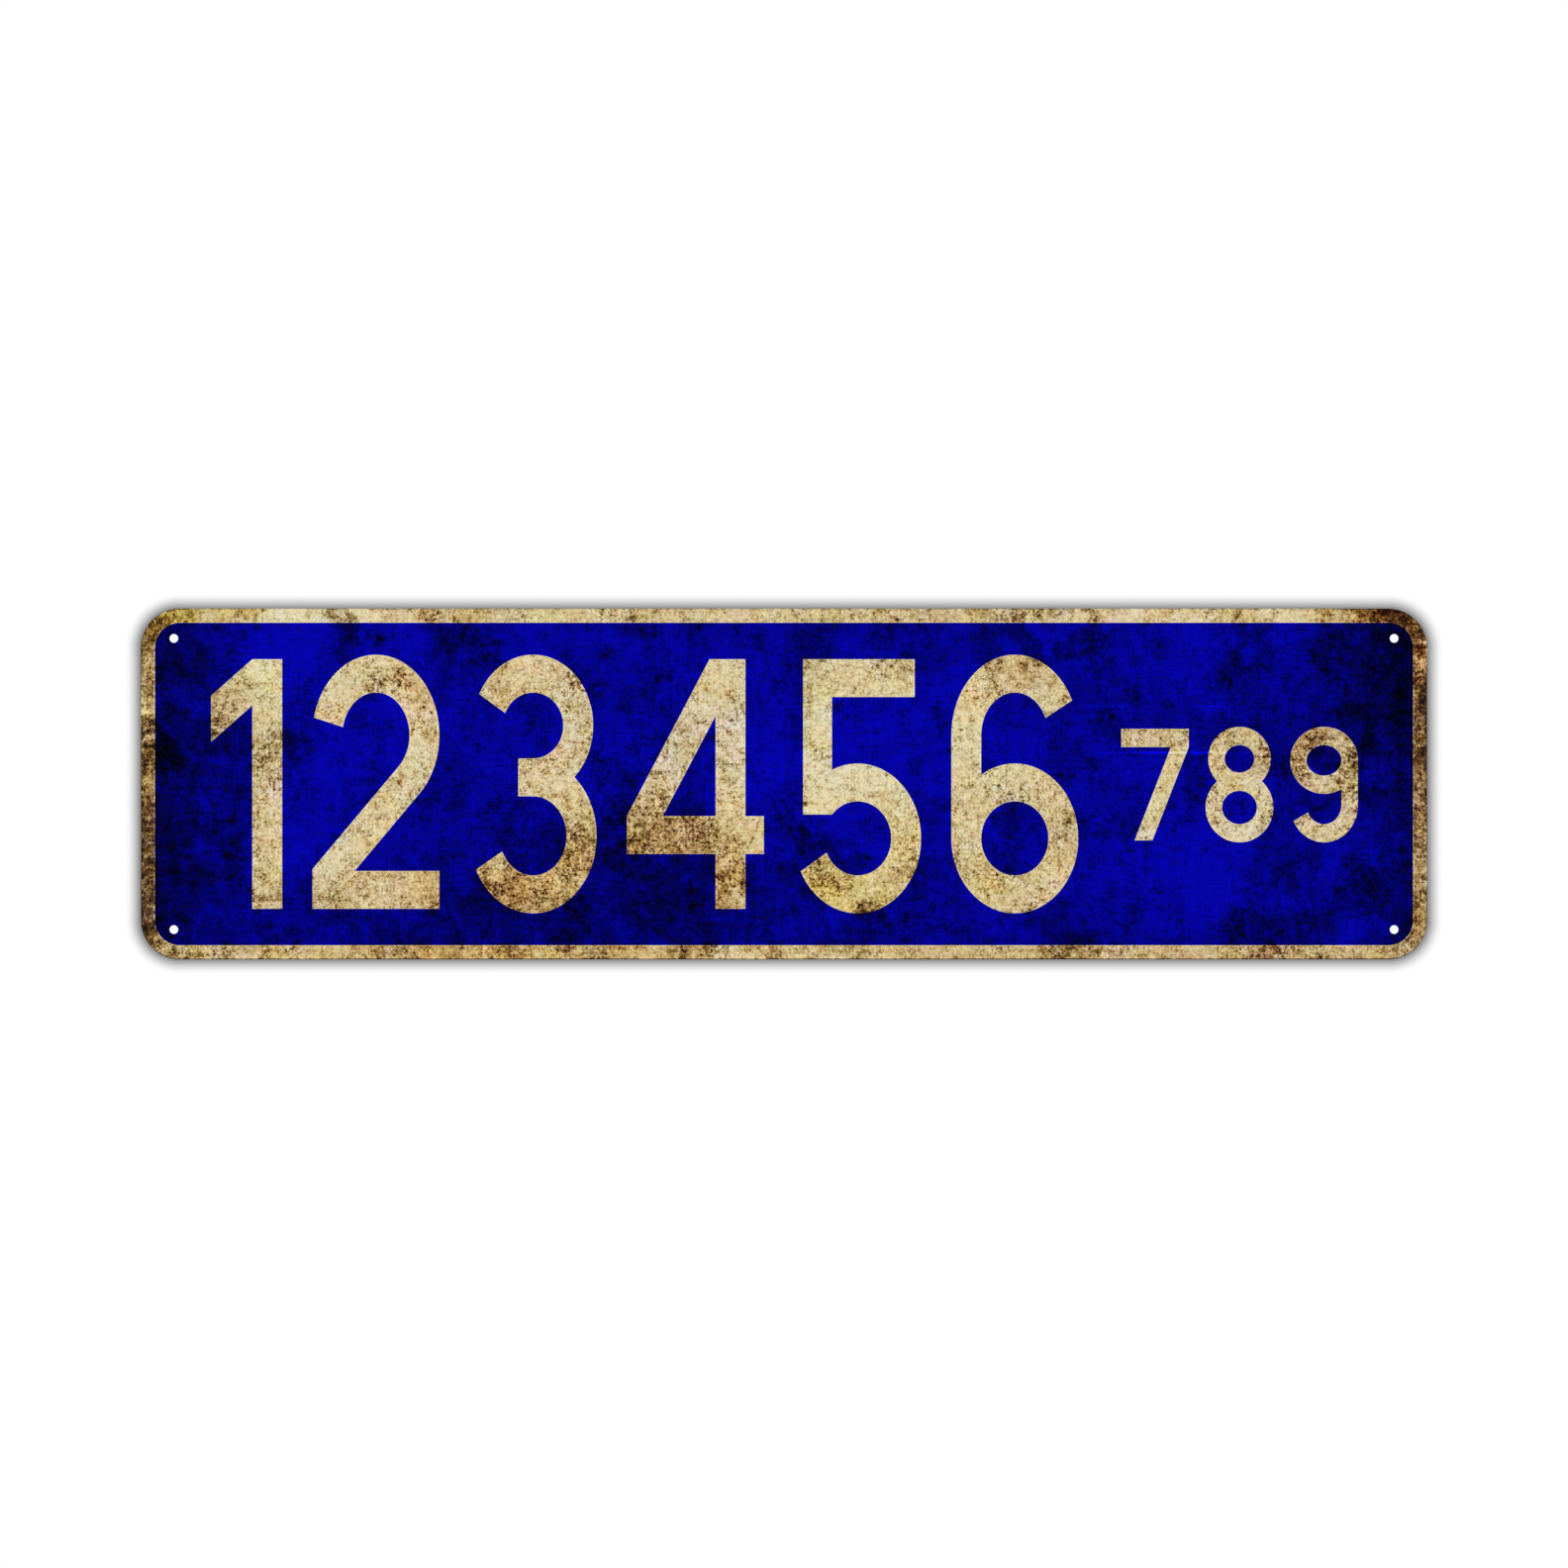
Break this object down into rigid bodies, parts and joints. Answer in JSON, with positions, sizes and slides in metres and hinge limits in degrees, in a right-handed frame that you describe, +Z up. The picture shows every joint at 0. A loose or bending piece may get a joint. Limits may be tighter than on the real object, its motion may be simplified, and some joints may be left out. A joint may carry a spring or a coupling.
{
  "type": "street name sign",
  "caption": "Long, low street name plate of thin aluminium sheet with rounded corners and a small screw hole in each corner, printed on one face.",
  "frame": {"origin": "middle of the back face, which is the middle of the pattern of the four screw holes", "axes": "+X to the right as the sign is read, +Y into the wall, +Z up"},
  "size_m": [0.419, 0.001, 0.1142],
  "materials": {
    "sheet_aluminium": "bare rolled sheet on the back and edges, under an aged cream coat on the front",
    "blue_ink": "aged satin ink, deep blue with dark grime",
    "cream_ink": "aged satin ink, cream with brown grime"
  },
  "bodies": {
    "root": {"sign_plate": "sheet_aluminium"}
  },
  "joints": []
}
